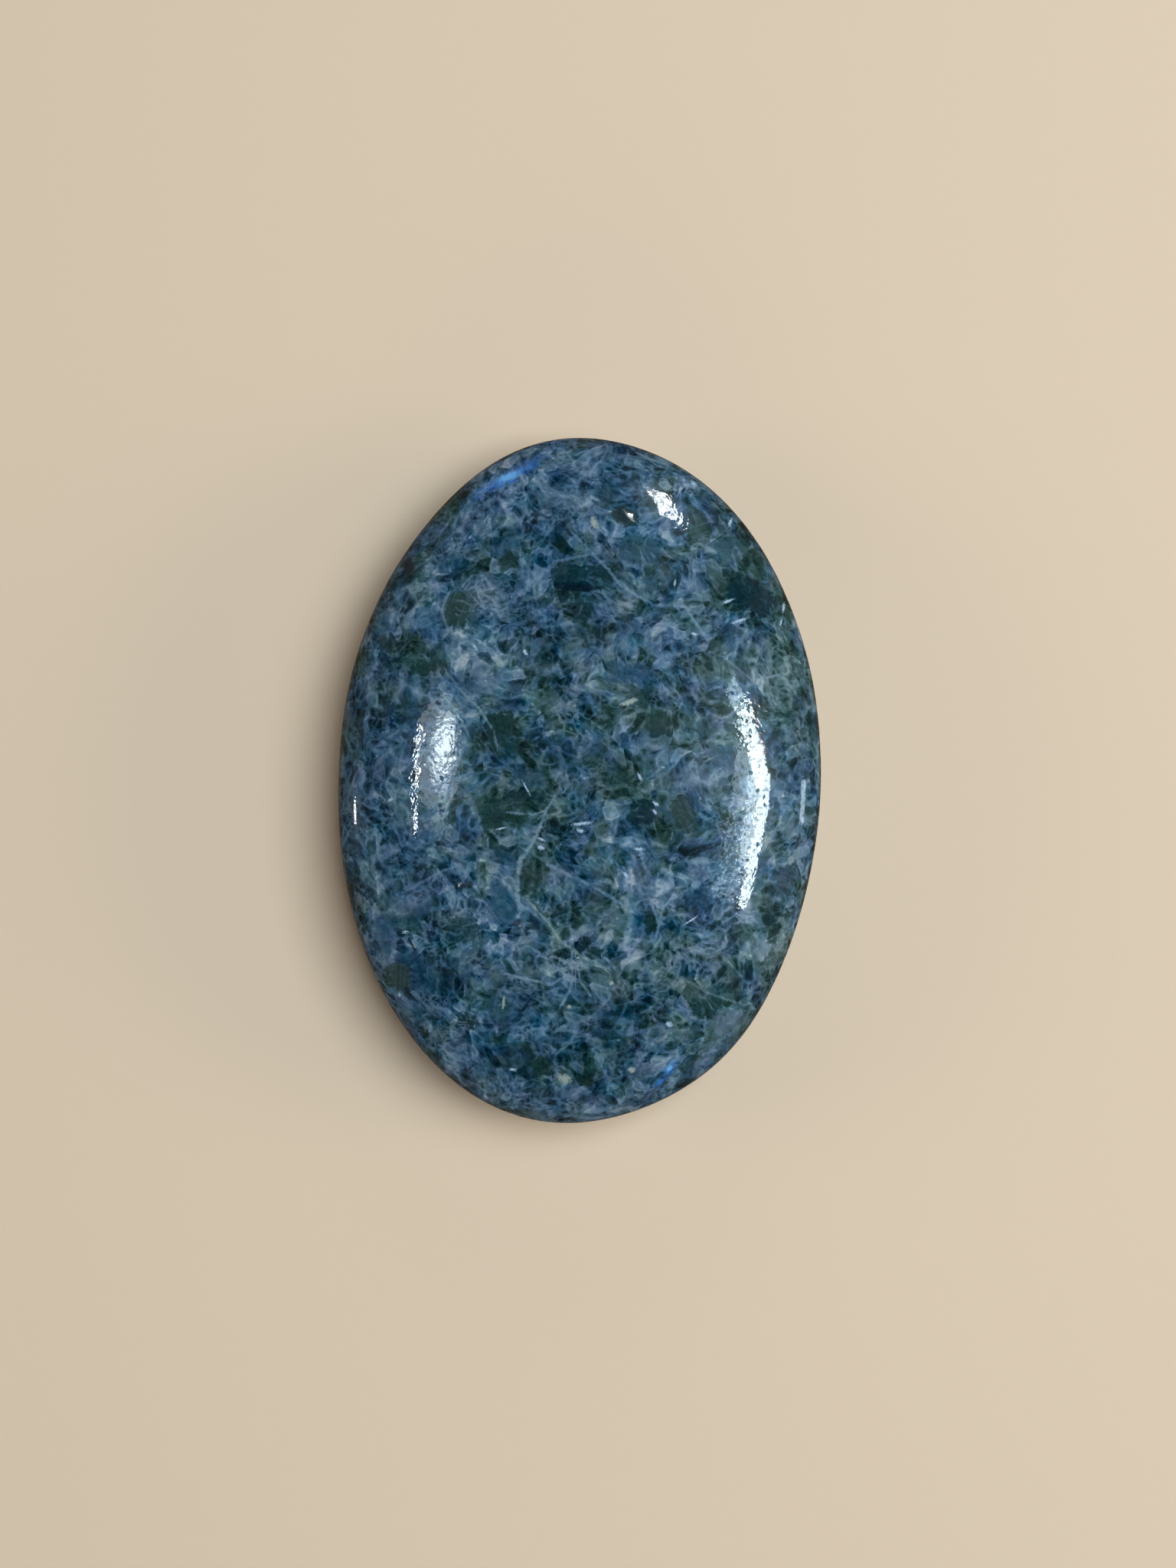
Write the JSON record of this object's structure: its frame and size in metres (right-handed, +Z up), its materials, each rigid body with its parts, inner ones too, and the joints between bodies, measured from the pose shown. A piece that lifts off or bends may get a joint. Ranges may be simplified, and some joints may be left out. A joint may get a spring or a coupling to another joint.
{
  "type": "chalcedony opal palm stone",
  "caption": "Polished oval palm stone with a low domed crown, a rounded rim and a small flat base to rest on.",
  "frame": {"origin": "middle of the flat base, on the surface that the stone rests on", "axes": "+Z up through the crown, +Y along the long axis, +X along the short axis"},
  "size_m": [0.0492, 0.0698, 0.0165],
  "materials": {
    "polished_stone": "polished"
  },
  "bodies": {
    "root": {"palm_stone": "polished_stone"}
  },
  "joints": []
}
